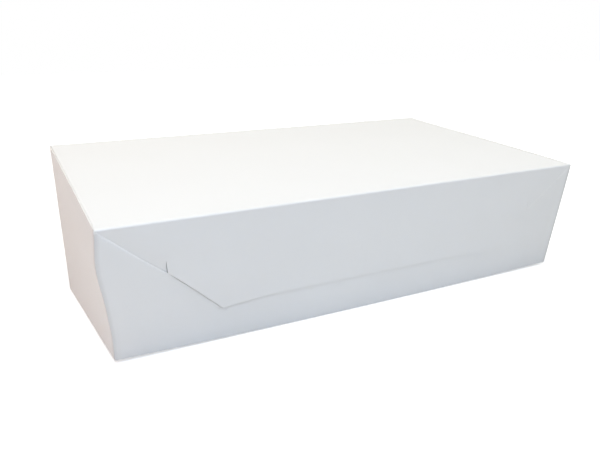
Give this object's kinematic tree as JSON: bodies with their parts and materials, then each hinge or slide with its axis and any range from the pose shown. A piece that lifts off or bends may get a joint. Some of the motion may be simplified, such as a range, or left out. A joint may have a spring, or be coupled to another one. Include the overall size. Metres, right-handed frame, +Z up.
{
  "type": "cake box",
  "caption": "Low white board cake box with leaning front and back walls, a hinged lid and a front flap that hooks between two corner ears.",
  "frame": {"origin": "under the middle of the rim, on the surface that the box stands on", "axes": "+X along the length of the box, +Y from the front wall to the back wall where the lid folds, +Z up"},
  "size_m": [0.3, 0.169, 0.091],
  "materials": {
    "white_board": "smooth white coated board, low sheen"
  },
  "bodies": {
    "tray": {"tray": "white_board"},
    "lid": {"lid": "white_board"},
    "front_flap": {"front_flap": "white_board"}
  },
  "joints": [
    {"name": "lid_hinge", "type": "hinge", "parent": "tray", "child": "lid", "pos_m": [0, 0.0845, 0.091], "axis": [-1, 0, 0], "range_deg": [0, 180]},
    {"name": "flap_hinge", "type": "hinge", "parent": "lid", "child": "front_flap", "pos_m": [0, -0.0845, 0.074], "axis": [-1, 0, 0], "range_deg": [0, 100]}
  ]
}
